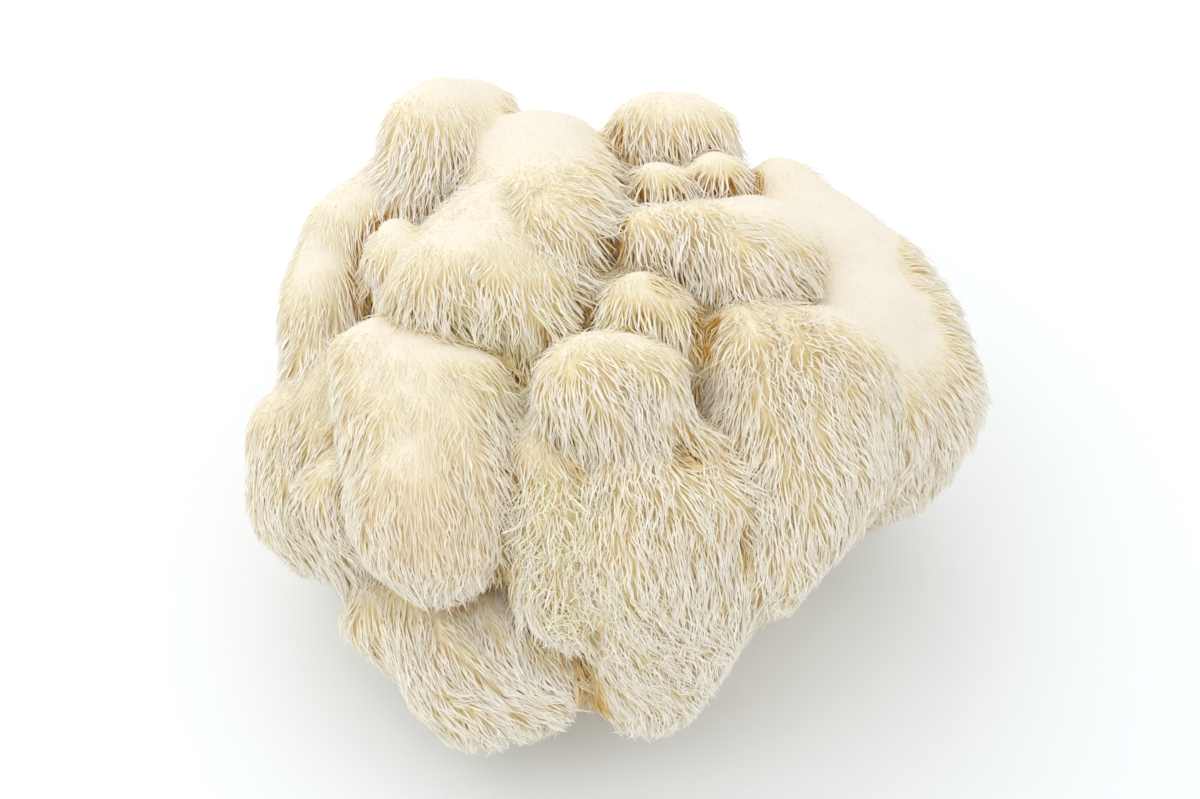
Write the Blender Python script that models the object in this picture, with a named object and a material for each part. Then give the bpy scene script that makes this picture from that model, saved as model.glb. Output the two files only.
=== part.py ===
"""A lion's mane mushroom: one fruiting body of rounded lobes under a coat of hanging spines.

It is cut off flat where it grew from its block and rests on that cut, at z = 0. The frame's origin is
the middle of the cut, +Z is up and -Y is the side that the spines hang towards.
"""

import random

import bmesh
import bpy
from mathutils import Matrix, Vector
from mathutils.bvhtree import BVHTree

MM = 0.001

# Each lobe is the hull round its balls. A ball is (x, y, z) and its radii along them, in millimetres.
LOBES = {
    "core": [(0, 4, 42, 52, 46, 38)],
    "stub": [(0, 0, 10, 32, 30, 22)],
    "crown": [(-15, 42, 63, 19, 16, 17), (-10, 17, 76, 12, 12, 12)],
    "crown_left": [(-36, 49, 68, 12, 13, 13), (-39, 41, 59, 11, 14, 14), (-30, 57, 65, 8, 8, 8)],
    "crown_beard": [(-26, 9, 75, 17, 13, 13), (-14, 4, 75, 11, 11, 11), (-20, 22, 69, 17, 14, 14)],
    "temple": [(-41, 19, 68, 7, 10, 10), (-39, 22, 58, 8, 11, 12)],
    "left_shoulder": [
        (-52, 32, 60, 9, 11, 11), (-56, 19, 53, 10, 12, 12), (-58, 10, 50, 8, 8, 9),
        (-48, 27, 44, 12, 14, 14), (-45, 38, 58, 12, 12, 12),
    ],
    "left_cheek": [(-59, -2, 44, 11, 11, 11), (-58, -14, 39, 11, 14, 14), (-50, 0, 30, 14, 16, 15)],
    "cheek_fold": [(-51, -8, 47, 11, 13, 13), (-52, 8, 50, 10, 12, 10)],
    "front": [(-42, -3, 68, 11, 9, 9), (-30, -14, 70, 14, 11, 11), (-32, -30, 61, 17, 19, 19)],
    "front_side": [(-50, -21, 48, 9, 11, 12), (-49, -20, 35, 9, 12, 12), (-42, -18, 38, 12, 13, 15)],
    "tangle": [(-11, -31, 66, 10, 11, 12), (-9, -42, 56, 10, 11, 13), (-11, -24, 54, 9, 12, 14)],
    "centre": [(-1, -20, 79, 15, 12, 12), (-1, -13, 70, 13, 12, 12)],
    "centre_small": [(5, -2, 80, 9, 8, 8), (12, -7, 76, 6, 6, 6), (6, 2, 74, 9, 8, 8)],
    "brow": [
        (25, 16, 76, 15, 10, 10), (8, 15, 80, 9, 7, 7),
        (22, 10, 75, 14, 11, 11), (26, 25, 66, 15, 11, 11),
    ],
    "back_right": [(12, 52, 68, 13, 10, 10), (12, 48, 58, 14, 12, 13)],
    "knob_left": [(9, 34, 73, 7, 6, 6), (9, 37, 67, 8, 7, 8)],
    "knob_right": [(19, 39, 70, 7, 6, 6), (19, 41, 64, 8, 7, 8)],
    "knob_fold": [(14, 40, 60, 13, 10, 11)],
    "right_slope": [(30, 43, 61, 11, 10, 10), (43, 24, 56, 18, 15, 15), (52, 4, 46, 18, 22, 22)],
    "right_fold": [(44, 9, 60, 16, 14, 14), (43, -9, 56, 17, 15, 16)],
    "right_drape": [
        (25, -7, 71, 12, 13, 13), (38, -8, 68, 13, 14, 14),
        (33, -22, 61, 18, 18, 18), (27, -36, 56, 11, 13, 13),
    ],
    "apron": [
        (5, -31, 66, 14, 12, 13), (4, -39, 62, 14, 16, 16),
        (6, -40, 28, 15, 16, 17), (17, -42, 50, 11, 12, 12),
    ],
    "apron_fold": [(20, -28, 40, 13, 13, 14)],
    "chin": [
        (-25, -41, 27, 18, 17, 17), (-18, -40, 31, 12, 13, 14),
        (-34, -36, 32, 12, 12, 12), (-13, -47, 28, 9, 9, 11),
    ],
    "chin_left": [(-42, -34, 29, 10, 10, 10), (-38, -28, 25, 12, 12, 14)],
    "back": [(-5, 49, 40, 17, 15, 19)],
    "back_left": [(-31, 46, 38, 16, 15, 20)],
    "back_low_right": [(23, 46, 36, 18, 15, 20)],
    "nape": [(7, 42, 20, 21, 15, 13)],
    "left_under": [(-46, 11, 22, 17, 18, 15)],
    "right_under": [(46, 13, 23, 18, 19, 16)],
    "right_front_under": [(26, -11, 24, 15, 15, 16)],
    "left_back_under": [(-31, 33, 21, 17, 16, 13)],
}

BALL_DETAIL = 3  # icosphere subdivisions of a ball
BODY_VOXEL = 5.2 * MM  # face size of the body under the spines, which is the width of a spine's foot
CREASE_SMOOTHING = 2  # passes that soften the creases between lobes
UNEVENNESS = 0.8 * MM  # how far the spines' feet wander from even rows

GROWTH_DOWN = Vector((0.1, -0.7, -0.7)).normalized()  # the way the spines hung while it grew
SPINE_SHORT = 1.8 * MM  # on top of a lobe
SPINE_LONG = 6.5 * MM  # below a lobe
SPINE_CLEARANCE = 0.8 * MM  # lowest tip above the surface that it rests on
LENGTH_SPREAD = (0.8, 1.15)  # shortest and longest share of that length
SPINE_LEAN = 0.75  # how far a spine leans towards where it hung
LOOK_AHEAD = 3  # spine lengths in which it looks for the next lobe
ROOM_SHARE = 0.45  # share of the gap to the next lobe that a spine may fill
COAT = 1.9 * MM  # how far the spine coat stands over the solid between its spines
CUT_SNAP = 1.6 * MM  # points nearer to the cut than this lie in it
SEED = 3
CLEARING_PASSES = 12  # rounds in which spines that cross are drawn in
DRAWN_IN = 0.6  # what such a spine keeps of its height in each round


def clear_scene():
    for obj in list(bpy.data.objects):
        bpy.data.objects.remove(obj)


def ball_points(ball):
    """Points of an icosphere stretched to the ball's radii, less the coat that the spines add."""
    x, y, z, rx, ry, rz = (value * MM for value in ball)
    bm = bmesh.new()
    place = Matrix.Translation((x, y, z)) @ Matrix.Diagonal((rx - COAT, ry - COAT, rz - COAT, 1))
    bmesh.ops.create_icosphere(bm, subdivisions=BALL_DETAIL, radius=1, matrix=place)
    points = [v.co.copy() for v in bm.verts]
    bm.free()
    return points


def add_lobe(body, balls):
    """Adds the convex hull round the balls to the body as a closed shell."""
    hull = bmesh.new()
    for ball in balls:
        for point in ball_points(ball):
            hull.verts.new(point)
    found = bmesh.ops.convex_hull(hull, input=hull.verts)
    inside = {v for v in found["geom_interior"] + found["geom_unused"] if isinstance(v, bmesh.types.BMVert)}
    bmesh.ops.delete(hull, geom=list(inside), context="VERTS")
    bmesh.ops.recalc_face_normals(hull, faces=hull.faces)
    mesh = bpy.data.meshes.new("hull")
    hull.to_mesh(mesh)
    hull.free()
    body.from_mesh(mesh)
    bpy.data.meshes.remove(mesh)


def lobed_mass():
    """All lobes as one closed mesh of even quads, with its creases softened."""
    body = bmesh.new()
    for balls in LOBES.values():
        add_lobe(body, balls)
    mesh = bpy.data.meshes.new("lobes")
    body.to_mesh(mesh)
    body.free()
    shell = bpy.data.objects.new("lobes", mesh)
    bpy.context.scene.collection.objects.link(shell)
    remesh = shell.modifiers.new("one_skin", "REMESH")
    remesh.mode = "VOXEL"
    remesh.voxel_size = BODY_VOXEL
    smooth = shell.modifiers.new("soft_creases", "SMOOTH")
    smooth.iterations = CREASE_SMOOTHING
    graph = bpy.context.evaluated_depsgraph_get()
    skin = bpy.data.meshes.new_from_object(shell.evaluated_get(graph))
    bpy.data.objects.remove(shell)
    bpy.data.meshes.remove(mesh)
    return skin


def cut_base(bm):
    """Cuts the body flat at z = 0 and closes the cut. Returns the cut's faces."""
    for v in bm.verts:
        if abs(v.co.z) < CUT_SNAP:
            v.co.z = 0
    cut = bmesh.ops.bisect_plane(
        bm,
        geom=bm.verts[:] + bm.edges[:] + bm.faces[:],
        dist=1e-6,
        plane_co=(0, 0, 0),
        plane_no=(0, 0, -1),
        clear_outer=True,
    )
    rim = [e for e in cut["geom_cut"] if isinstance(e, bmesh.types.BMEdge)]
    return bmesh.ops.contextual_create(bm, geom=rim)["faces"]


def loosen_rows(bm):
    """Moves points along the surface, so that the spines don't stand in rows."""
    bm.normal_update()
    for v in bm.verts:
        step = Vector([random.uniform(-1, 1) for _ in range(3)]) * UNEVENNESS
        step -= v.normal * step.dot(v.normal)
        if v.co.z > CUT_SNAP:
            v.co += step


def spine_way(normal):
    """The way a spine leans: out of the lobe, and along it towards where it hung."""
    along = GROWTH_DOWN - normal * GROWTH_DOWN.dot(normal)
    return (normal + SPINE_LEAN * along).normalized()


def raise_spines(bm, cut_faces):
    """Draws the middle of every face out into a leaning spine."""
    tree = BVHTree.FromBMesh(bm)
    skin = [f for f in bm.faces if f not in cut_faces and all(v.co.z > 0 for v in f.verts)]
    tips = {}
    for index, face in enumerate(skin):
        face.normal_update()
        way = spine_way(face.normal)
        hang = 0.5 + 0.5 * face.normal.dot(GROWTH_DOWN)
        length = (SPINE_SHORT + (SPINE_LONG - SPINE_SHORT) * hang) * random.uniform(*LENGTH_SPREAD)
        middle = face.calc_center_median()
        hit = tree.ray_cast(middle + face.normal * MM, way, LOOK_AHEAD * length)[3]
        if hit is not None:
            length = min(length, ROOM_SHARE * hit)
        tip = middle + way * length
        tip.z = max(tip.z, SPINE_CLEARANCE)
        tips[face] = tip
    poked = bmesh.ops.poke(bm, faces=skin)
    feet = {}
    for vert, tip in zip(poked["verts"], tips.values()):
        feet[vert] = vert.co.copy()
        vert.co = tip
    return feet


def clear_crossings(bm, feet):
    """Draws in the spines that cross others, which are those deep between two lobes."""
    for _ in range(CLEARING_PASSES):
        bm.faces.ensure_lookup_table()
        tree = BVHTree.FromBMesh(bm)
        crossing = set()
        for first, second in tree.overlap(tree):
            shared = set(bm.faces[first].verts) & set(bm.faces[second].verts)
            if not shared:
                crossing.add(bm.faces[first])
                crossing.add(bm.faces[second])
        for tip, foot in feet.items():
            if not crossing.isdisjoint(tip.link_faces):
                tip.co = foot.lerp(tip.co, DRAWN_IN)


def mushroom_material():
    material = bpy.data.materials.new("cream_fungus")
    material.use_nodes = True
    shader = material.node_tree.nodes["Principled BSDF"]
    shader.inputs["Base Color"].default_value = (0.80, 0.70, 0.50, 1)
    shader.inputs["Roughness"].default_value = 0.75
    shader.inputs["Metallic"].default_value = 0.0
    return material


def fruiting_body():
    skin = lobed_mass()
    bm = bmesh.new()
    bm.from_mesh(skin)
    random.seed(SEED)
    cut_faces = cut_base(bm)
    loosen_rows(bm)
    feet = raise_spines(bm, set(cut_faces))
    bmesh.ops.triangulate(bm, faces=bm.faces)
    clear_crossings(bm, feet)
    bmesh.ops.recalc_face_normals(bm, faces=bm.faces)
    bm.to_mesh(skin)
    bm.free()
    skin.name = "fruiting_body"
    body = bpy.data.objects.new("fruiting_body", skin)
    body.data.materials.append(mushroom_material())
    bpy.context.scene.collection.objects.link(body)
    return body


clear_scene()
fruiting_body()
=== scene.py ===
import math

import bmesh
import bpy
import numpy as np
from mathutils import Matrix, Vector
from mathutils.bvhtree import BVHTree
from mathutils.kdtree import KDTree


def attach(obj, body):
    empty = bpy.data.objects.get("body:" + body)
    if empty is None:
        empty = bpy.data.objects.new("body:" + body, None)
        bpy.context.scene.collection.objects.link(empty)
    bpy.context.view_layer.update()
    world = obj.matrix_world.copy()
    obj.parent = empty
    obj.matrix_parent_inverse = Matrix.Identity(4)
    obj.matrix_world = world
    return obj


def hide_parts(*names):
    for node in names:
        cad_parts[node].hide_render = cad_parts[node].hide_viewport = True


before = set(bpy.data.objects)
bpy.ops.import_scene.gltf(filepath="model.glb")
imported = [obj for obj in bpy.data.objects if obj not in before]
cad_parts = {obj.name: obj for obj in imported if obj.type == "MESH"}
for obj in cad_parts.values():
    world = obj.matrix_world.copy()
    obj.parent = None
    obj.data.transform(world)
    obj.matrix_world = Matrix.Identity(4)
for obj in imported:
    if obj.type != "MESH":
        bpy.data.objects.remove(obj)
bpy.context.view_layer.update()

mm = 0.001

# where the spines hung while the mushroom grew
growthDown = Vector((0.1, -0.7, -0.7)).normalized()


def deselectAll():
    if bpy.context.object and bpy.context.object.mode == "EDIT":
        bpy.ops.object.mode_set(mode="OBJECT")
    bpy.ops.object.select_all(action="DESELECT")


def joinPieces(pieces, name):
    deselectAll()
    for piece in pieces:
        piece.select_set(True)
    bpy.context.view_layer.objects.active = pieces[0]
    if len(pieces) > 1:
        bpy.ops.object.join()
    bpy.context.object.name = name
    bpy.context.object.data.name = name
    return bpy.context.object


# the firm flesh under the spines

flesh = {
    "ballDetail": 3,
    "topInset": 0.9,        # mm of coat on the top of a lobe
    "hangInset": 2.9,       # mm of coat on its hanging side
    "leastRadius": 1.5,     # mm of a ball inside its coat
    "voxel": 1.3,           # mm, size of a face
    "smoothing": 6,
    "bumpSize": 13,         # mm, from one soft bump of a lobe to the next
    "bumpHeight": 2.6,      # mm
    "pitDepth": 3.0,        # mm
    "creaseWidth": 4,       # mm of open air over the skin, less than this is a crease
    "sharpAngle": 50,       # degrees
    # every lobe is the hull round its balls: x, y, z and the radii along them in mm, out to the tips
    "lobes": {
        "core": [(0, 4, 42, 52, 46, 38)],
        "stub": [(0, 0, 10, 32, 30, 22)],
        "crown": [(-15, 42, 63, 19, 16, 17), (-10, 17, 76, 12, 12, 12)],
        "crownLeft": [(-34, 50, 69, 12, 13, 13), (-38, 41, 59, 11, 14, 14), (-26, 58, 67, 9, 8, 8)],
        "crownBeard": [
            (-26, 7, 75, 17, 13, 13), (-15, 3, 75, 12, 12, 12), (-20, 22, 69, 17, 14, 14),
        ],
        "crownBeardTip": [(-18, -1, 72, 9, 8, 9), (-22, 4, 74, 12, 10, 10)],
        "temple": [(-41, 19, 68, 7, 10, 10), (-39, 22, 58, 8, 11, 12)],
        "leftShoulder": [
            (-52, 32, 60, 9, 11, 11), (-55, 19, 53, 10, 12, 12), (-56, 10, 50, 8, 8, 9),
            (-48, 27, 44, 12, 14, 14), (-45, 38, 58, 12, 12, 12),
        ],
        "leftCheek": [
            (-59, -2, 44, 11, 11, 11), (-58, -14, 39, 11, 14, 14), (-50, 0, 30, 14, 16, 15),
        ],
        "cheekFold": [(-51, -8, 47, 11, 13, 13), (-52, 8, 50, 10, 12, 10)],
        "front": [(-42, -3, 68, 11, 9, 9), (-30, -14, 70, 14, 11, 11), (-32, -30, 61, 17, 19, 19)],
        "frontSide": [
            (-50, -21, 48, 9, 11, 12), (-49, -20, 35, 9, 12, 12), (-42, -18, 38, 12, 13, 15),
        ],
        "tangle": [
            (-13, -27, 66, 9, 11, 11), (-9, -36, 60, 12, 11, 13), (-8, -42, 50, 12, 11, 13),
            (-11, -24, 54, 9, 12, 14),
        ],
        "centre": [(-1, -20, 79, 15, 12, 12), (-1, -13, 70, 13, 12, 12), (2, -23, 75, 13, 11, 12)],
        "centreSmall": [(5, -2, 80, 9, 8, 8), (12, -7, 76, 6, 6, 6), (6, 2, 74, 9, 8, 8)],
        "brow": [
            (25, 16, 76, 15, 10, 10), (8, 15, 80, 9, 7, 7), (22, 10, 75, 14, 11, 11),
            (26, 25, 66, 15, 11, 11),
        ],
        "backRight": [(11, 52, 68, 14, 10, 10), (12, 48, 58, 14, 12, 13)],
        "knobLeft": [(9, 34, 73, 7, 6, 6), (9, 37, 67, 8, 7, 8)],
        "knobRight": [(19, 39, 70, 7, 6, 6), (19, 41, 64, 8, 7, 8)],
        "knobFold": [(14, 40, 60, 13, 10, 11)],
        "rightSlope": [
            (32, 42, 61, 9, 8, 9), (42, 22, 56, 17, 15, 15), (49, 27, 55, 11, 11, 11),
            (51, 4, 46, 18, 22, 22),
        ],
        "rightShoulder": [(53, 14, 54, 12, 12, 12), (54, 4, 50, 13, 14, 15)],
        "rightFold": [(44, 9, 60, 16, 14, 14), (43, -9, 56, 17, 15, 16)],
        "rightDrape": [
            (25, -7, 71, 12, 13, 13), (38, -8, 68, 13, 14, 14), (33, -22, 61, 18, 18, 18),
            (27, -36, 56, 11, 13, 13),
        ],
        "apron": [
            (7, -28, 67, 16, 12, 13), (5, -39, 61, 15, 16, 16), (14, -36, 62, 14, 13, 13),
            (6, -40, 28, 15, 16, 17), (17, -42, 50, 11, 12, 12),
        ],
        "apronFold": [(20, -28, 40, 13, 13, 14)],
        "chin": [
            (-25, -41, 27, 18, 17, 17), (-18, -40, 31, 12, 13, 14), (-34, -36, 32, 12, 12, 12),
            (-13, -47, 28, 9, 9, 11),
        ],
        "chinLeft": [(-42, -34, 29, 10, 10, 10), (-38, -28, 25, 12, 12, 14)],
        "back": [(-5, 49, 40, 17, 15, 19)],
        "backLeft": [(-31, 46, 38, 16, 15, 20)],
        "backLowRight": [(23, 46, 36, 18, 15, 20)],
        "nape": [(7, 42, 20, 21, 15, 13)],
        "leftUnder": [(-46, 11, 22, 17, 18, 15)],
        "rightUnder": [(46, 13, 23, 18, 19, 16)],
        "rightFrontUnder": [(26, -11, 24, 15, 15, 16)],
        "leftBackUnder": [(-31, 33, 21, 17, 16, 13)],
    },
    # pits sunk into the flesh where lobes meet, painted deep amber as shade: x, y, z and width in mm
    "pits": [
        (16, -6, 79, 3.8), (13, -31, 77, 3.4), (13, -17, 72, 3.6), (21, -40, 64, 3.0),
        (-12, -48, 55, 1.8), (-17, -12, 74, 3.2), (-2, 13, 79, 3.4), (-5, -2, 77, 3.2), (9, 0, 85, 2.4),
    ],
}


def addBall(ball):
    inset = (flesh["topInset"] + flesh["hangInset"]) / 2
    lift = growthDown * (flesh["topInset"] - flesh["hangInset"]) / 2
    place = (Vector(ball[:3]) + lift) * mm
    radii = [max(radius - inset, flesh["leastRadius"]) * mm for radius in ball[3:]]
    bpy.ops.mesh.primitive_ico_sphere_add(
        subdivisions=flesh["ballDetail"], radius=1, location=place, scale=radii
    )
    bpy.ops.object.transform_apply(location=True, rotation=True, scale=True)
    return bpy.context.object


def addLobe(name, balls):
    deselectAll()
    lobe = joinPieces([addBall(ball) for ball in balls], name)
    if len(balls) > 1:
        bpy.ops.object.mode_set(mode="EDIT")
        bpy.ops.mesh.select_all(action="SELECT")
        bpy.ops.mesh.convex_hull()
        bpy.ops.object.mode_set(mode="OBJECT")
    return lobe


def pitShare(points):
    # 1 in the middle of a pit, 0 away from them all
    share = np.zeros(len(points))
    for pit in flesh["pits"]:
        gap = np.linalg.norm(points - np.array(pit[:3]) * mm, axis=1) / (pit[3] * mm)
        share = np.maximum(share, np.exp(-gap ** 2))
    return share


def readMesh(mesh):
    mesh.calc_loop_triangles()
    corners = np.empty(len(mesh.loop_triangles) * 3, dtype=np.int32)
    mesh.loop_triangles.foreach_get("vertices", corners)
    places = np.empty(len(mesh.vertices) * 3)
    mesh.vertices.foreach_get("co", places)
    normals = np.empty(len(mesh.vertices) * 3)
    mesh.vertices.foreach_get("normal", normals)
    return corners.reshape(-1, 3), places.reshape(-1, 3), normals.reshape(-1, 3)


def sinkPits(mesh):
    _, places, normals = readMesh(mesh)
    places -= normals * pitShare(places)[:, None] * flesh["pitDepth"] * mm
    mesh.vertices.foreach_set("co", places.ravel())
    mesh.update()


def addFlesh():
    lobes = [addLobe(name, balls) for name, balls in flesh["lobes"].items()]
    body = joinPieces(lobes, "flesh")
    remesh = body.modifiers.new("oneSkin", "REMESH")
    remesh.mode = "VOXEL"
    remesh.voxel_size = flesh["voxel"] * mm
    bpy.ops.object.modifier_apply(modifier="oneSkin")
    smooth = body.modifiers.new("softCreases", "SMOOTH")
    smooth.iterations = flesh["smoothing"]
    bpy.ops.object.modifier_apply(modifier="softCreases")
    bumps = body.modifiers.new("unevenness", "DISPLACE")
    bumps.texture = bpy.data.textures.new("softBumps", "CLOUDS")
    bumps.texture.noise_scale = flesh["bumpSize"] * mm
    bumps.texture_coords = "LOCAL"
    bumps.strength = flesh["bumpHeight"] * mm
    bpy.ops.object.modifier_apply(modifier="unevenness")
    sinkPits(body.data)
    bpy.ops.object.mode_set(mode="EDIT")
    bpy.ops.mesh.select_all(action="SELECT")
    bpy.ops.mesh.bisect(plane_co=(0, 0, 0), plane_no=(0, 0, 1), use_fill=True, clear_inner=True)
    bpy.ops.mesh.select_all(action="SELECT")
    bpy.ops.mesh.normals_make_consistent(inside=False)
    bpy.ops.object.mode_set(mode="OBJECT")
    bpy.ops.object.shade_smooth_by_angle(angle=math.radians(flesh["sharpAngle"]))
    return body


fleshBody = addFlesh()
print("flesh", len(fleshBody.data.polygons), "faces")


# the coat of spines

spines = {
    "seed": 11,
    "tries": 2.6,             # places tried for every square of the spacing
    "velvetSpacing": 0.95,    # mm between roots on the bare top of a lobe
    "spacing": 0.62,          # mm between roots elsewhere
    "shortest": 1.3,          # mm
    "longest": 8.6,           # mm
    "lengthSpread": (0.7, 1.15),
    "rimLength": 0.2,         # how much shorter they are where they hang free
    "velvetBelow": 3.0,       # mm, shorter spines than this have no bend
    "longAbove": 6.0,         # mm, longer spines than this bend twice
    "rootThickness": 0.44,    # mm
    "tipThickness": 0.25,     # mm
    "thickSpread": (0.8, 1.15),
    "velvetThickness": 0.35,  # share of it that the shortest have
    "bareUntil": -0.1,        # how far a skin hangs where its spines begin to lengthen
    "fullFrom": 0.42,         # and where they are as long as they get
    "lie": 3.2,               # how far a tip lies over towards where it hung
    "clearance": 0.7,         # mm that a tip keeps from the flesh
    "loft": 1.6,              # mm more that it may stand away
    "fringe": 1.7,            # times the loft, for tips that hang from under a lobe
    "rimLie": 0.7,            # how much less they lie over there
    "swirl": (0.2, 42),       # strength, and size in mm
    "ripple": (0.12, 9),
    "curlRipple": 0.9,        # more ripple where a region curls
    "stray": 0.08,            # of one spine
    "curlStray": 0.6,         # more stray there
    "lockStray": 0.16,        # of a whole lock
    "wave": 0.6,              # mm
    "curlWave": 2.2,          # times that where a region curls
    "lockSize": 15,           # spines
    "lockPull": 0.3,
    "rootDepth": 0.4,         # mm inside the flesh
    "lowestRoot": 0.6,        # mm above the cut
    "floorGap": 0.4,          # mm
    "pitShortening": 0.85,
    "sides": 3,
    "joints": 4,              # of the longest, with the root and the tip
    # painted light and painted shade: where the coat is painted paler or deeper than elsewhere to lift or
    # deepen its shading: x, y, z and reach in mm, and by how much
    "paintedShading": [
        (-38, 37, 73, 12, 0.35), (-42, 22, 70, 10, 0.25), (12, 42, 75, 9, 0.3), (14, 33, 76, 9, 0.3),
        (7, 15, 82, 7, 0.3), (24, 10, 80, 9, 0.15), (-22, -44, 48, 9, 0.35), (56, 12, 66, 9, 0.2),
        (-35, -24, 78, 10, -0.08), (5, -44, 66, 14, -0.1), (34, -12, 82, 12, -0.08),
    ],
}

# where the coat differs: place and reach in mm, turn in degrees towards +x, the others are shares
regions = {
    "crownTop": {"at": (-16, 50, 79), "reach": 13, "bare": 0.34},
    "crownLeftTop": {"at": (-36, 50, 81), "reach": 10, "bare": 0.08},
    "crownFall": {"at": (-4, 24, 82), "reach": 14, "turn": 14, "long": 0.1, "bare": -0.15},
    "beard": {"at": (-20, -4, 76), "reach": 14, "turn": 9, "long": 0.2, "straw": 0.5},
    "beardRight": {"at": (-6, 4, 80), "reach": 8, "turn": 30, "long": 0.1},
    "leftShoulder": {"at": (-55, 22, 64), "reach": 12, "bare": 0.2, "turn": 4},
    "leftCheek": {"at": (-68, -8, 44), "reach": 13, "turn": 12},
    "frontTop": {"at": (-38, -7, 77), "reach": 10, "turn": -6, "bare": 0.06},
    "nose": {"at": (-33, -40, 71), "reach": 12, "bare": 0.08, "long": -0.35, "tan": 0.9, "turn": 8},
    "noseRight": {"at": (-19, -38, 62), "reach": 9, "turn": 24},
    "tangle": {"at": (-11, -38, 70), "reach": 8, "curl": 0.9, "straw": 0.6},
    "tangleLow": {"at": (-7, -52, 58), "reach": 9, "curl": 1.0, "straw": 0.5},
    "centre": {"at": (-1, -28, 88), "reach": 12, "turn": 6, "bare": -0.2},
    "centreSmall": {"at": (8, -4, 88), "reach": 8, "turn": 12, "straw": 0.4},
    "brow": {"at": (13, 11, 87), "reach": 11, "turn": -8, "stand": 0.3, "bare": -0.2},
    "browTop": {"at": (28, 24, 85), "reach": 9, "bare": 0.02},
    "browRight": {"at": (36, 10, 82), "reach": 10, "turn": 34},
    "knobs": {"at": (14, 34, 78), "reach": 10, "stand": 0.7, "long": -0.3},
    "slope": {"at": (43, 25, 70), "reach": 16, "bare": 0.46, "turn": 40},
    "slopeEdge": {"at": (60, 24, 58), "reach": 11, "bare": -0.3, "stand": 0.7, "turn": 60},
    "drapeShoulder": {"at": (54, 3, 67), "reach": 11, "bare": 0.38, "turn": 20},
    "rightEnd": {"at": (70, 6, 50), "reach": 17, "turn": 50, "stand": 0.6},
    "drapeTop": {"at": (32, -8, 84), "reach": 11, "curl": 0.5, "stand": 0.2, "bare": -0.2},
    "drape": {"at": (38, -32, 70), "reach": 18, "turn": 12},
    "apronTop": {"at": (12, -38, 74), "reach": 11, "turn": 8, "bare": -0.35},
    "apron": {"at": (4, -54, 54), "reach": 13, "turn": 14},
    "apronLow": {"at": (16, -52, 30), "reach": 13, "turn": 38},
    "chin": {"at": (-28, -54, 30), "reach": 12, "turn": 40},
    "chinRight": {"at": (-13, -56, 30), "reach": 8, "turn": 50},
}


def smoothField(points, wavelength, seed, waves=7):
    # three smooth random numbers for every point
    dice = np.random.default_rng(seed)
    total = np.zeros((len(points), 3))
    for _ in range(waves):
        push = dice.normal(size=3)
        push /= np.linalg.norm(push)
        way = dice.normal(size=3)
        way *= 2 * math.pi / (wavelength * mm * np.linalg.norm(way)) * dice.uniform(0.7, 1.4)
        total += np.sin(points @ way + dice.uniform(0, 2 * math.pi))[:, None] * push
    return total / math.sqrt(waves / 2)


def unit(vectors):
    return vectors / np.maximum(np.linalg.norm(vectors, axis=-1, keepdims=True), 1e-9)


def smoothStep(low, high, value):
    t = np.clip((value - low) / (high - low), 0, 1)
    return t * t * (3 - 2 * t)


def hangOf(outward):
    # 0 on the top of a lobe, 1 where its skin faces the way the spines hung
    return 0.5 + 0.5 * outward @ np.array(growthDown)


def rimOf(hang):
    # 1 where a lobe's skin faces the way the spines hung, so that they hang free
    return smoothStep(0.78, 0.97, hang)


def regional(points, key):
    total = np.zeros(len(points))
    weights = np.zeros(len(points))
    for region in regions.values():
        gap = np.linalg.norm(points - np.array(region["at"]) * mm, axis=1) / (region["reach"] * mm)
        weight = np.exp(-gap ** 2)
        weights += weight
        total += weight * region.get(key, 0)
    return total / np.maximum(weights, 1)


# painted light and painted shade: how much each place's tone is raised or lowered
def paintedShadingOf(points):
    total = np.zeros(len(points))
    for shade in spines["paintedShading"]:
        gap = np.linalg.norm(points - np.array(shade[:3]) * mm, axis=1) / (shade[3] * mm)
        total += shade[4] * np.exp(-gap ** 2)
    return total


def growth(points, outward):
    # how much of the full length a spine has here, 0 on a bare top
    hang = hangOf(outward) - regional(points, "bare") + 0.05 * smoothField(points, 16, 9)[:, 0]
    return smoothStep(spines["bareUntil"], spines["fullFrom"], hang)


def scatterRoots(body, dice):
    # random places on the skin, thinned until none stands nearer to another than its spacing
    corners, places, normals = readMesh(body.data)
    a, b, c = (places[corners[:, k]] for k in range(3))
    areas = np.linalg.norm(np.cross(b - a, c - a), axis=1) / 2
    tries = int(areas.sum() / (spines["spacing"] * mm) ** 2 * spines["tries"])
    picked = dice.choice(len(areas), size=tries, p=areas / areas.sum())
    u, v = dice.random(tries), dice.random(tries)
    flip = u + v > 1
    u[flip], v[flip] = 1 - u[flip], 1 - v[flip]
    share = np.stack([1 - u - v, u, v], axis=1)[:, :, None]
    found = (places[corners[picked]] * share).sum(axis=1)
    outward = unit((normals[corners[picked]] * share).sum(axis=1))
    spread = 1 - smoothStep(0.1, 0.5, growth(found, outward))
    spacing = (spines["spacing"] + (spines["velvetSpacing"] - spines["spacing"]) * spread) * mm
    keep = found[:, 2] > spines["lowestRoot"] * mm
    kept = []
    cells = {}
    cellSize = max(spines["spacing"], spines["velvetSpacing"]) * mm
    near = [(i, j, k) for i in (-1, 0, 1) for j in (-1, 0, 1) for k in (-1, 0, 1)]
    homes = np.floor(found / cellSize).astype(int).tolist()
    gaps = (spacing ** 2).tolist()
    for index, ((x, y, z), spot, gap, fine) in enumerate(zip(homes, found.tolist(), gaps, keep)):
        if not fine:
            continue
        crowd = (o for i, j, k in near for o in cells.get((x + i, y + j, z + k), ()))
        if all((o[0] - spot[0]) ** 2 + (o[1] - spot[1]) ** 2 + (o[2] - spot[2]) ** 2 >= gap for o in crowd):
            cells.setdefault((x, y, z), []).append(spot)
            kept.append(index)
    return found[kept], outward[kept]


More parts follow.
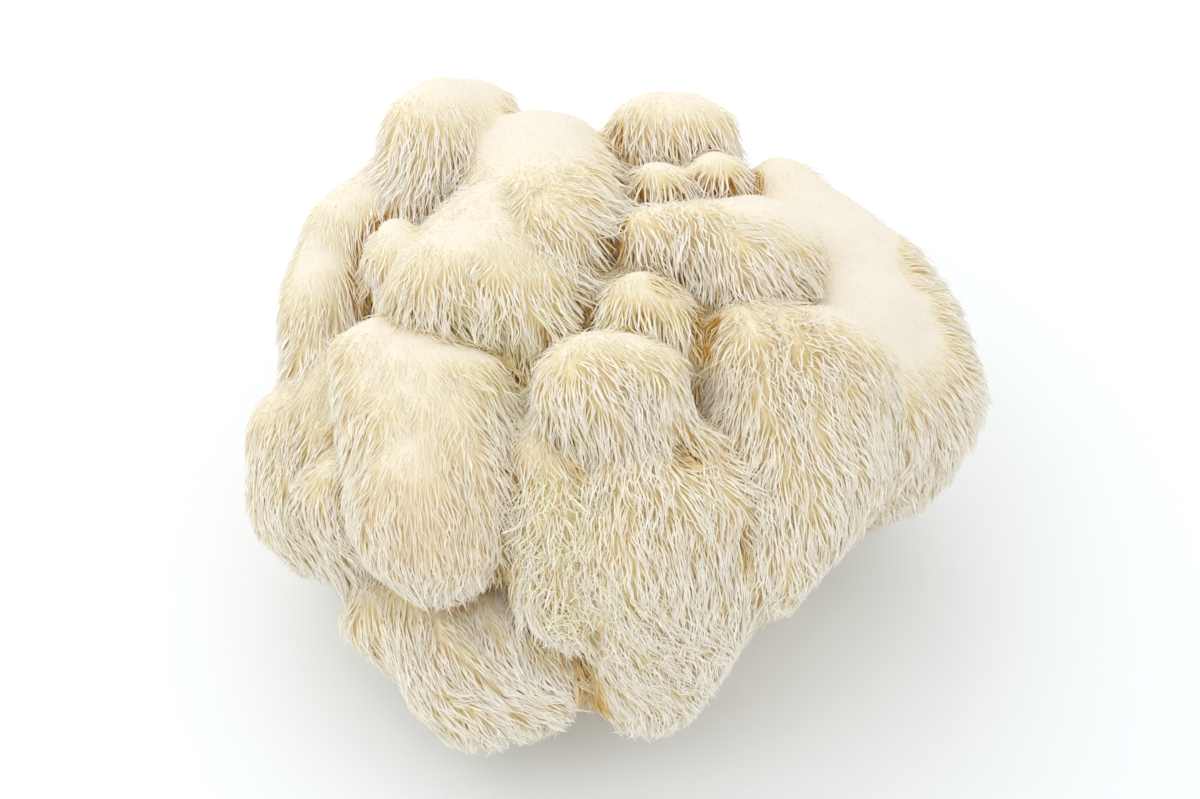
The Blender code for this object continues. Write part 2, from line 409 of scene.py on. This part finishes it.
def skinTree(body):
    bm = bmesh.new()
    bm.from_mesh(body.data)
    tree = BVHTree.FromBMesh(bm)
    bm.free()
    return tree


def joinLocks(roots, dice):
    # the number of the lock that each spine belongs to
    leaders = roots[dice.random(len(roots)) < 1 / spines["lockSize"]]
    tree = KDTree(len(leaders))
    for index, leader in enumerate(leaders.tolist()):
        tree.insert(leader, index)
    tree.balance()
    return np.array([tree.find(root)[1] for root in roots.tolist()]), len(leaders)


def layWay(roots, outward, grown, lockPush, dice):
    # the way a spine leaves the skin, and the way its tip points, with slow swirls and a little of its own
    hang = hangOf(outward)
    curl = regional(roots, "curl")[:, None]
    stand = regional(roots, "stand")[:, None]
    swirl, swirlSize = spines["swirl"]
    ripple, rippleSize = spines["ripple"]
    ripple = ripple + spines["curlRipple"] * curl
    stray = spines["stray"] + spines["curlStray"] * curl
    flow = np.array(growthDown) + swirl * smoothField(roots, swirlSize, 3)
    flow += ripple * smoothField(roots, rippleSize, 4)
    flow += spines["lockStray"] * lockPush + stray * dice.normal(size=roots.shape)
    along = unit(flow - outward * np.sum(flow * outward, axis=1, keepdims=True))
    turn = np.radians(regional(roots, "turn"))[:, None]
    along = along * np.cos(turn) + np.cross(outward, along) * np.sin(turn)
    lying = spines["lie"] * (0.35 + 0.65 * grown[:, None]) * (1 - 0.75 * stand)
    lying = lying * (1 - spines["rimLie"] * rimOf(hang)[:, None])
    startWay = unit(outward + 0.5 * lying * along)
    endWay = unit(0.3 * outward + lying * along + 0.4 * (1 - stand) * flow * hang[:, None])
    return startWay, endWay


def layPoints(roots, outward, startWay, endWay, length, dice):
    joints = spines["joints"]
    steps = joints - 1
    points = np.empty((joints, len(roots), 3))
    points[0] = roots - outward * spines["rootDepth"] * mm
    curl = 1 + spines["curlWave"] * regional(roots, "curl")[:, None]
    waving = dice.normal(size=(joints, len(roots), 3)) * spines["wave"] * mm * curl
    reach = (length / (spines["longest"] * mm))[:, None]
    for k in range(1, joints):
        t = (k - 0.5) / steps
        way = unit(startWay * (1 - t) + endWay * t)
        points[k] = points[k - 1] + way * (length / steps)[:, None]
    for k in range(1, joints):
        points[k] += waving[k] * reach * k / steps
    return points


def gatherLocks(roots, points, lock):
    # the tips of a lock lean together, more in some places than in others
    size = np.bincount(lock)
    lead = np.stack([np.bincount(lock, points[-1][:, axis]) / size for axis in range(3)], axis=1)
    pull = np.clip(spines["lockPull"] * (0.9 + 0.6 * smoothField(roots, 25, 5)[:, 0]), 0, 0.75)[:, None]
    drift = (lead[lock] - points[-1]) * pull
    last = len(points) - 1
    for k in range(1, len(points)):
        points[k] += drift * (k / last) ** 1.5


def keepClose(points, lift, skin):
    # no spine dips into the flesh or into what the mushroom stands on, or stands off like a bristle
    last = len(points) - 1
    lift = lift + 2.5 * regional(points[0], "stand") + 0.8 * regional(points[0], "curl")
    loft = spines["loft"] * lift * mm
    for k in range(1, len(points)):
        clear = spines["clearance"] * k / last * mm
        highest = (clear + loft * (0.3 + 0.7 * k / last)).tolist()
        for index, spot in enumerate(points[k].tolist()):
            spot = Vector(spot)
            place, normal, _, _ = skin.find_nearest(spot)
            height = (spot - place).dot(normal)
            if height < clear:
                points[k, index] = spot + normal * (clear - height)
            elif height > highest[index]:
                points[k, index] = spot + normal * (highest[index] - height)
    points[:, :, 2] = np.maximum(points[:, :, 2], spines["floorGap"] * mm)


def creaseDepth(places, outward, skin):
    # 1 deep between two lobes, 0 on open skin
    probe = flesh["creaseWidth"] * mm
    depth = np.empty(len(places))
    for index, spot in enumerate((places + outward * probe).tolist()):
        depth[index] = 1 - skin.find_nearest(Vector(spot))[3] / probe
    return np.clip(depth, 0, 1)


def spineMesh(points, across, thick, dice):
    # thin three-sided spines, closed at the root and the tip, all in one mesh
    joints, count = points.shape[:2]
    sides = spines["sides"]
    taper = 1 - spines["tipThickness"] / spines["rootThickness"]
    turn = dice.uniform(0, 2 * math.pi, count)
    rings = []
    for k in range(joints - 1):
        way = unit(points[k + 1] - points[max(k - 1, 0)])
        side = unit(np.cross(way, np.array([0.3, 0.2, 0.93])))
        other = np.cross(way, side)
        width = thick * (1 - taper * (k / (joints - 1)) ** 1.6)
        for s in range(sides):
            angle = turn + 2 * math.pi * s / sides
            ring = side * np.cos(angle)[:, None] + other * np.sin(angle)[:, None]
            rings.append(points[k] + ring * width[:, None])
    rings.append(points[-1])
    verts = np.stack(rings, axis=1).reshape(-1, 3)
    triangles = [(0, 2, 1)]
    for k in range(joints - 2):
        for s in range(sides):
            a = k * sides + s
            b = k * sides + (s + 1) % sides
            triangles += [(a, b, b + sides), (a, b + sides, a + sides)]
    last = (joints - 2) * sides
    triangles += [(last + s, last + (s + 1) % sides, last + sides) for s in range(sides)]
    faces = (np.array(triangles)[None] + (np.arange(count) * len(rings))[:, None, None]).reshape(-1, 3)
    heights = np.append(np.repeat(np.arange(joints - 1), sides), joints - 1) / (joints - 1)
    return verts, faces, np.repeat(across, len(rings)), np.tile(heights, count)


def joinSpines(name, batches):
    # one mesh from several batches, with the map that the colour reads: across is tone, up is root to tip
    verts, across, up = (np.concatenate([batch[part] for batch in batches]) for part in (0, 2, 3))
    starts = np.cumsum([0] + [len(batch[0]) for batch in batches])
    faces = np.concatenate([batch[1] + start for batch, start in zip(batches, starts)])
    mesh = bpy.data.meshes.new(name)
    mesh.vertices.add(len(verts))
    mesh.vertices.foreach_set("co", verts.ravel())
    mesh.loops.add(faces.size)
    mesh.loops.foreach_set("vertex_index", faces.ravel())
    mesh.polygons.add(len(faces))
    mesh.polygons.foreach_set("loop_start", np.arange(len(faces)) * 3)
    mesh.update(calc_edges=True)
    mesh.shade_flat()
    layer = mesh.uv_layers.new(name="OFBake")
    layer.data.foreach_set("uv", np.stack([across, up], axis=1)[faces.ravel()].ravel())
    piece = bpy.data.objects.new(name, mesh)
    bpy.context.scene.collection.objects.link(piece)
    return piece


dice = np.random.default_rng(spines["seed"])
roots, outward = scatterRoots(fleshBody, dice)
skin = skinTree(fleshBody)
count = len(roots)
grown = growth(roots, outward)
rim = rimOf(hangOf(outward))
length = spines["shortest"] + (spines["longest"] - spines["shortest"]) * grown
length *= (1 - spines["rimLength"] * rim) * (1 + regional(roots, "long"))
length *= dice.uniform(*spines["lengthSpread"], count) * mm
creased = creaseDepth(roots, outward, skin)
lock, lockCount = joinLocks(roots, dice)
lockLift = dice.uniform(0, 1, lockCount)[lock]
startWay, endWay = layWay(roots, outward, grown, dice.normal(size=(lockCount, 3))[lock], dice)
points = layPoints(roots, outward, startWay, endWay, length, dice)
gatherLocks(roots, points, lock)
keepClose(points, 0.45 + 0.9 * lockLift + spines["fringe"] * rim, skin)
inPit = np.maximum(pitShare(points[-1]), pitShare(roots))[:, None]
points = roots + (points - roots) * (1 - spines["pitShortening"] * inPit)
thick = spines["rootThickness"] / 2 * mm * dice.uniform(*spines["thickSpread"], count)
thick *= spines["velvetThickness"] + (1 - spines["velvetThickness"]) * grown
velvet = length < spines["velvetBelow"] * mm
longOnes = length > spines["longAbove"] * mm
print("roots", count, "of them velvet", int(velvet.sum()), "long", int(longOnes.sum()))

# each spine's place across the colour map: every band has a start and a width and runs from dark to pale
colorBands = {"amberToCream": (0.01, 0.57), "straw": (0.62, 0.16), "tan": (0.82, 0.16)}
tones = {
    "usual": 0.6,
    "spread": 0.06,
    "drift": (0.08, 20),    # strength, and size in mm
    "crease": 1.3,          # painted shade: how much darker the tone is in a crease
    "velvet": 0.2,          # painted light: paler on a bare top, lifting the shade between short spines
    "lock": 0.14,           # painted light and shade: paler for a lock that lies on top, less so for one beneath
    "oddShare": 0.04,       # of spines that are straw or tan anywhere
}
drift, driftSize = tones["drift"]
tone = tones["usual"] + tones["spread"] * dice.normal(size=count)
# painted shade: a spine in a crease takes a darker tone
tone += drift * smoothField(roots, driftSize, 6)[:, 0] - tones["crease"] * creased
# painted light: a paler tone on bare tops and on locks that stand higher
tone += tones["velvet"] * (1 - grown) + tones["lock"] * lockLift * grown
# painted light and painted shade from the listed spots, and painted shade darkening the spines in a pit
tone = np.clip(tone + paintedShadingOf(roots) - pitShare(roots), 0, 1)
chance = dice.random(count)
strawShare = np.clip(tones["oddShare"] + regional(roots, "straw"), 0, 1)
tanShare = np.clip(tones["oddShare"] + regional(roots, "tan"), 0, 1) * (1 - strawShare)
isStraw = chance < strawShare
isTan = (chance > 1 - tanShare) & ~isStraw
across = colorBands["amberToCream"][0] + colorBands["amberToCream"][1] * tone
across[isStraw] = colorBands["straw"][0] + colorBands["straw"][1] * tone[isStraw]
across[isTan] = colorBands["tan"][0] + colorBands["tan"][1] * tone[isTan]


def addNode(material, kind, **values):
    node = material.node_tree.nodes.new(kind)
    for key, value in values.items():
        setattr(node, key, value)
    return node


def addRamp(material, stops, source):
    ramp = addNode(material, "ShaderNodeValToRGB")
    elements = ramp.color_ramp.elements
    while len(elements) < len(stops):
        elements.new(1)
    for element, (position, color) in zip(elements, stops):
        element.position = position
        element.color = (*color, 1)
    material.node_tree.links.new(source, ramp.inputs["Fac"])
    return ramp


# place on the colour map, colour of the roots, colour of the tips; the darker, more golden roots are partly
# the spines' own colour and partly painted shade for the gaps between spines, and the dark amber at 0 is
# painted crease and pit shade
spineColors = [
    (0.0, (0.68, 0.40, 0.08), (0.86, 0.67, 0.29)),
    (0.3, (0.87, 0.735, 0.39), (0.905, 0.873, 0.78)),
    (0.58, (0.90, 0.80, 0.51), (0.93, 0.908, 0.87)),
    (0.62, (0.82, 0.75, 0.34), (0.90, 0.86, 0.60)),
    (0.78, (0.89, 0.86, 0.57), (0.925, 0.91, 0.77)),
    (0.82, (0.85, 0.67, 0.40), (0.88, 0.78, 0.61)),
    (0.98, (0.90, 0.80, 0.60), (0.92, 0.87, 0.77)),
]


def spineMaterial():
    material = bpy.data.materials.new("creamSpines")
    material.use_nodes = True
    link = material.node_tree.links.new
    shader = material.node_tree.nodes["Principled BSDF"]
    uv = addNode(material, "ShaderNodeUVMap", uv_map="OFBake")
    parts = addNode(material, "ShaderNodeSeparateXYZ")
    link(uv.outputs["UV"], parts.inputs["Vector"])
    rootColor = addRamp(material, [(at, root) for at, root, tip in spineColors], parts.outputs["X"])
    tipColor = addRamp(material, [(at, tip) for at, root, tip in spineColors], parts.outputs["X"])
    # painted shade, in part: each spine turns from its darker root colour to its tip colour over the lower
    # part of its length
    toTip = addRamp(material, [(0.0, (0, 0, 0)), (0.6, (1, 1, 1))], parts.outputs["Y"])
    mix = addNode(material, "ShaderNodeMix", data_type="RGBA")
    link(toTip.outputs["Color"], mix.inputs["Factor"])
    link(rootColor.outputs["Color"], mix.inputs["A"])
    link(tipColor.outputs["Color"], mix.inputs["B"])
    link(mix.outputs["Result"], shader.inputs["Base Color"])
    shader.inputs["Roughness"].default_value = 0.6
    shader.inputs["Specular IOR Level"].default_value = 0.1
    return material


def paintSkin(body):
    # 0 in a crease or a pit, where shade is painted, 1 on a bare top
    _, places, normals = readMesh(body.data)
    value = 0.35 + 0.65 * (1 - growth(places, normals))
    # painted shade: darker in creases and pits
    value -= creaseDepth(places, normals, skin) + pitShare(places)
    attribute = body.data.attributes.new("skinToneAndPaintedShade", "FLOAT", "POINT")
    attribute.data.foreach_set("value", np.clip(value, 0, 1))


# from painted shade in a crease to a bare top
fleshColors = [
    (0.0, (0.52, 0.28, 0.05)),
    (0.25, (0.88, 0.75, 0.47)),
    (0.5, (0.90, 0.84, 0.66)),
    (1.0, (0.86, 0.80, 0.69)),
]


def fleshMaterial():
    material = bpy.data.materials.new("paleFlesh")
    material.use_nodes = True
    link = material.node_tree.links.new
    shader = material.node_tree.nodes["Principled BSDF"]
    skinToneAndPaintedShade = addNode(material, "ShaderNodeAttribute", attribute_name="skinToneAndPaintedShade")
    ramp = addRamp(material, fleshColors, skinToneAndPaintedShade.outputs["Fac"])
    link(ramp.outputs["Color"], shader.inputs["Base Color"])
    shader.inputs["Roughness"].default_value = 0.75
    shader.inputs["Subsurface Weight"].default_value = 0.3
    shader.inputs["Subsurface Radius"].default_value = (1, 0.75, 0.45)
    shader.inputs["Subsurface Scale"].default_value = 0.002
    return material


paintSkin(fleshBody)
fleshBody.data.materials.append(fleshMaterial())
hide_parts("fruiting_body")
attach(fleshBody, "root")

# the coat is parted by place, so that each piece stays light: a middle for each, in mm
patches = {
    "spinesCrown": (-20, 45, 75),
    "spinesLeft": (-60, 5, 50),
    "spinesFront": (-30, -45, 45),
    "spinesApron": (20, -50, 45),
    "spinesTop": (0, 0, 95),
    "spinesRight": (65, 10, 55),
    "spinesBack": (10, 65, 35),
    "spinesUnder": (0, 0, 0),
}
centres = np.array(list(patches.values())) * mm
nearest = np.argmin(np.linalg.norm(roots[:, None] - centres[None], axis=2), axis=1)
# which joints the short, the middling and the long ones keep
kinds = ((velvet, [0, 3]), (~velvet & ~longOnes, [0, 1, 3]), (longOnes, [0, 1, 2, 3]))
coat = spineMaterial()
for number, name in enumerate(patches):
    batches = []
    for kind, joints in kinds:
        chosen = np.nonzero((nearest == number) & kind)[0]
        if len(chosen) > 0:
            batches.append(spineMesh(points[joints][:, chosen], across[chosen], thick[chosen], dice))
    piece = joinSpines(name, batches)
    piece.data.materials.append(coat)
    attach(piece, "root")
    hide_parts("fruiting_body")
    print(name, len(piece.data.polygons), "triangles")


# floor, light and camera

stage = {
    "floorSize": 6.0,                 # m
    "floorDrop": 0.2,                 # mm under the cut
    "floorColor": (0.94, 0.975, 1.0),
    "lookAt": (-2.8, 2.2, 48.8),      # mm
    "elevation": 52,                  # degrees
    "distance": 620,                  # mm
    "lens": 98.4,
    "worldStrength": 0.96,
    # place in m, size in m and power in W
    "lamps": {
        "keyLamp": ((-0.3, 0.42, 0.62), 1.0, 1.2),
        "fillLamp": ((-0.6, -0.5, 1.25), 0.8, 1.2),
    },
    "bounces": 12,                    # light goes deep into a coat this pale
}


def addFloor():
    deselectAll()
    bpy.ops.mesh.primitive_plane_add(size=stage["floorSize"], location=(0, 0, -stage["floorDrop"] * mm))
    floor = bpy.context.object
    floor.name = "floor"
    material = bpy.data.materials.new("whiteFloor")
    material.use_nodes = True
    shader = material.node_tree.nodes["Principled BSDF"]
    shader.inputs["Base Color"].default_value = (*stage["floorColor"], 1)
    shader.inputs["Roughness"].default_value = 0.9
    floor.data.materials.append(material)


def addLamp(name, place, size, power):
    deselectAll()
    bpy.ops.object.light_add(type="AREA", location=place)
    lamp = bpy.context.object
    lamp.name = name
    lamp.data.shape = "DISK"
    lamp.data.size = size
    lamp.data.energy = power
    lamp.rotation_euler = (-Vector(place)).to_track_quat("-Z", "Y").to_euler()


def addWorld():
    world = bpy.data.worlds.new("studio")
    bpy.context.scene.world = world
    world.use_nodes = True
    background = world.node_tree.nodes["Background"]
    background.inputs["Color"].default_value = (1.0, 1.0, 1.0, 1)
    background.inputs["Strength"].default_value = stage["worldStrength"]


def addCamera():
    deselectAll()
    tilt = math.radians(stage["elevation"])
    back = Vector((0, -math.cos(tilt), math.sin(tilt)))
    place = (Vector(stage["lookAt"]) + back * stage["distance"]) * mm
    bpy.ops.object.camera_add(location=place, rotation=(math.radians(90) - tilt, 0, 0))
    camera = bpy.context.object
    camera.data.lens = stage["lens"]
    camera.data.sensor_width = 36
    camera.data.clip_start = 0.01
    bpy.context.scene.camera = camera


addFloor()
for name, (place, size, power) in stage["lamps"].items():
    addLamp(name, place, size, power)
addWorld()
addCamera()
bpy.context.scene.view_settings.view_transform = "Standard"
bpy.context.scene.cycles.diffuse_bounces = stage["bounces"]
bpy.context.scene.cycles.max_bounces = stage["bounces"]
print("stage", len(stage["lamps"]), "lamps")
